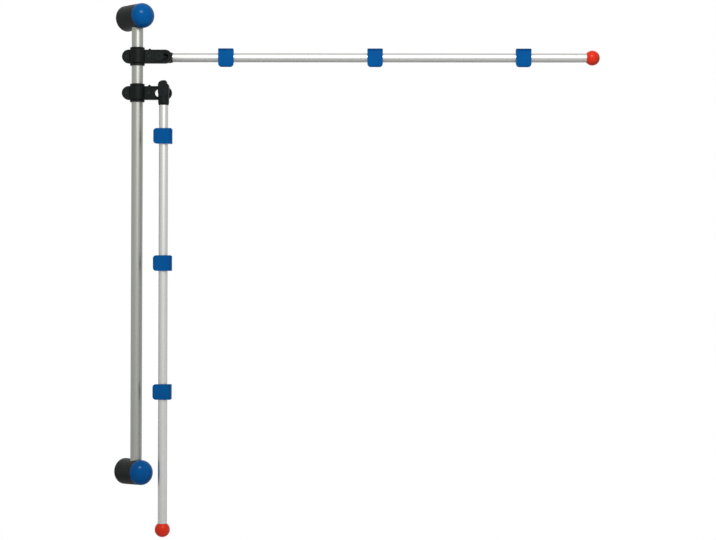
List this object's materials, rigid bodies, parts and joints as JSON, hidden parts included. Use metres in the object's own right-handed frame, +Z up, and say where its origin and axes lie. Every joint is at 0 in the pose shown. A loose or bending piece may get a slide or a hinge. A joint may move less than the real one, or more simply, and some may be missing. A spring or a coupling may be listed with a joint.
{
  "type": "plan hanging rack",
  "caption": "Wall rack for plans: a tube column between domed wall brackets carries swivelling arms that pull out, fold down and hold sheets in sprung clips.",
  "frame": {"origin": "centre of the lower bracket's wall face", "axes": "+Z up along the column, +Y into the wall, +X to the right seen from the room"},
  "size_m": [0.844, 0.6618, 1.164],
  "materials": {
    "satin_aluminium": "satin anodised",
    "black_plastic": "fine satin grain",
    "blue_plastic": "glossy moulding",
    "red_plastic": "glossy moulding",
    "zinc_steel": "bright zinc plate",
    "blackened_steel": "black oxide",
    "spring_steel": "drawn wire"
  },
  "bodies": {
    "wall_frame": {"column_tube": "satin_aluminium", "lower_bracket": "black_plastic", "lower_bracket_cap": "blue_plastic", "lower_bracket_lock_screw": "zinc_steel", "lower_sleeve": "black_plastic", "lower_sleeve_screw": "zinc_steel", "upper_bracket": "black_plastic", "upper_bracket_cap": "blue_plastic", "upper_bracket_lock_screw": "zinc_steel", "upper_sleeve": "black_plastic", "upper_sleeve_screw": "zinc_steel"},
    "upper_clamp": {"upper_clamp_front_shell": "black_plastic", "upper_clamp_back_shell": "black_plastic", "upper_clamp_ear_screw": "blackened_steel", "upper_clamp_ear_nut": "blackened_steel", "upper_clamp_neck_screw": "blackened_steel", "upper_clamp_neck_nut": "blackened_steel"},
    "upper_pivot": {"upper_pivot_pin": "black_plastic", "upper_pivot_collar": "blackened_steel"},
    "upper_arm": {"upper_arm_socket": "black_plastic", "upper_arm_tube": "satin_aluminium", "upper_arm_ball": "red_plastic"},
    "upper_clip_1": {"upper_clip_1_saddle": "blue_plastic", "upper_clip_1_hinge_pin": "zinc_steel", "upper_clip_1_spring": "spring_steel"},
    "upper_jaw_1": {"upper_clip_1_jaw": "blue_plastic"},
    "upper_clip_2": {"upper_clip_2_saddle": "blue_plastic", "upper_clip_2_hinge_pin": "zinc_steel", "upper_clip_2_spring": "spring_steel"},
    "upper_jaw_2": {"upper_clip_2_jaw": "blue_plastic"},
    "upper_clip_3": {"upper_clip_3_saddle": "blue_plastic", "upper_clip_3_hinge_pin": "zinc_steel", "upper_clip_3_spring": "spring_steel"},
    "upper_jaw_3": {"upper_clip_3_jaw": "blue_plastic"},
    "lower_clamp": {"lower_clamp_front_shell": "black_plastic", "lower_clamp_back_shell": "black_plastic", "lower_clamp_ear_screw": "blackened_steel", "lower_clamp_ear_nut": "blackened_steel", "lower_clamp_neck_screw": "blackened_steel", "lower_clamp_neck_nut": "blackened_steel"},
    "lower_pivot": {"lower_pivot_pin": "black_plastic", "lower_pivot_collar": "blackened_steel"},
    "lower_arm": {"lower_arm_socket": "black_plastic", "lower_arm_tube": "satin_aluminium", "lower_arm_ball": "red_plastic"},
    "lower_clip_1": {"lower_clip_1_saddle": "blue_plastic", "lower_clip_1_hinge_pin": "zinc_steel", "lower_clip_1_spring": "spring_steel"},
    "lower_jaw_1": {"lower_clip_1_jaw": "blue_plastic"},
    "lower_clip_2": {"lower_clip_2_saddle": "blue_plastic", "lower_clip_2_hinge_pin": "zinc_steel", "lower_clip_2_spring": "spring_steel"},
    "lower_jaw_2": {"lower_clip_2_jaw": "blue_plastic"},
    "lower_clip_3": {"lower_clip_3_saddle": "blue_plastic", "lower_clip_3_hinge_pin": "zinc_steel", "lower_clip_3_spring": "spring_steel"},
    "lower_jaw_3": {"lower_clip_3_jaw": "blue_plastic"}
  },
  "joints": [
    {"name": "upper_swivel", "type": "hinge", "parent": "wall_frame", "child": "upper_clamp", "pos_m": [0, -0.045, 0.908], "axis": [0, 0, 1], "range_deg": [-142, 38]},
    {"name": "upper_pull", "type": "slide", "parent": "upper_clamp", "child": "upper_pivot", "axis": [0.788, -0.6157, 0], "range_m": [0, 0.012]},
    {"name": "upper_fold", "type": "hinge", "parent": "upper_pivot", "child": "upper_arm", "pos_m": [0.0487, -0.05982, 0.908], "axis": [0.6157, 0.788, 0], "range_deg": [0, 90]},
    {"name": "upper_clip_1_slide", "type": "slide", "parent": "upper_arm", "child": "upper_clip_1", "axis": [0.788, -0.6157, 0], "range_m": [-0.09, 0.1]},
    {"name": "upper_jaw_1_open", "type": "hinge", "parent": "upper_clip_1", "child": "upper_jaw_1", "pos_m": [0.15984, -0.15452, 0.92221], "axis": [-0.788, 0.6157, 0], "range_deg": [0, 20], "stiffness_Nm_per_rad": 0.3},
    {"name": "upper_clip_2_slide", "type": "slide", "parent": "upper_arm", "child": "upper_clip_2", "axis": [0.788, -0.6157, 0], "range_m": [-0.1, 0.1]},
    {"name": "upper_jaw_2_open", "type": "hinge", "parent": "upper_clip_2", "child": "upper_jaw_2", "pos_m": [0.41778, -0.35605, 0.92221], "axis": [-0.788, 0.6157, 0], "range_deg": [0, 20], "stiffness_Nm_per_rad": 0.3},
    {"name": "upper_clip_3_slide", "type": "slide", "parent": "upper_arm", "child": "upper_clip_3", "axis": [0.788, -0.6157, 0], "range_m": [-0.1, 0.1]},
    {"name": "upper_jaw_3_open", "type": "hinge", "parent": "upper_clip_3", "child": "upper_jaw_3", "pos_m": [0.67467, -0.55676, 0.92221], "axis": [-0.788, 0.6157, 0], "range_deg": [0, 20], "stiffness_Nm_per_rad": 0.3},
    {"name": "lower_swivel", "type": "hinge", "parent": "wall_frame", "child": "lower_clamp", "pos_m": [0, -0.045, 0.828], "axis": [0, 0, 1], "range_deg": [-142, 38]},
    {"name": "lower_pull", "type": "slide", "parent": "lower_clamp", "child": "lower_pivot", "axis": [0.788, -0.6157, 0], "range_m": [-0.012, 0]},
    {"name": "lower_fold", "type": "hinge", "parent": "lower_pivot", "child": "lower_arm", "pos_m": [0.03562, -0.09605, 0.828], "axis": [-0.6157, -0.788, 0], "range_deg": [0, 90]},
    {"name": "lower_clip_1_slide", "type": "slide", "parent": "lower_arm", "child": "lower_clip_1", "axis": [0, 0, -1], "range_m": [-0.045, 0.1]},
    {"name": "lower_jaw_1_open", "type": "hinge", "parent": "lower_clip_1", "child": "lower_jaw_1", "pos_m": [0.043, -0.10968, 0.73157], "axis": [0, 0, 1], "range_deg": [0, 20], "stiffness_Nm_per_rad": 0.3},
    {"name": "lower_clip_2_slide", "type": "slide", "parent": "lower_arm", "child": "lower_clip_2", "axis": [0, 0, -1], "range_m": [-0.1, 0.1]},
    {"name": "lower_jaw_2_open", "type": "hinge", "parent": "lower_clip_2", "child": "lower_jaw_2", "pos_m": [0.043, -0.10968, 0.45483], "axis": [0, 0, 1], "range_deg": [0, 20], "stiffness_Nm_per_rad": 0.3},
    {"name": "lower_clip_3_slide", "type": "slide", "parent": "lower_arm", "child": "lower_clip_3", "axis": [0, 0, -1], "range_m": [-0.1, 0.1]},
    {"name": "lower_jaw_3_open", "type": "hinge", "parent": "lower_clip_3", "child": "lower_jaw_3", "pos_m": [0.043, -0.10968, 0.17533], "axis": [0, 0, 1], "range_deg": [0, 20], "stiffness_Nm_per_rad": 0.3}
  ]
}
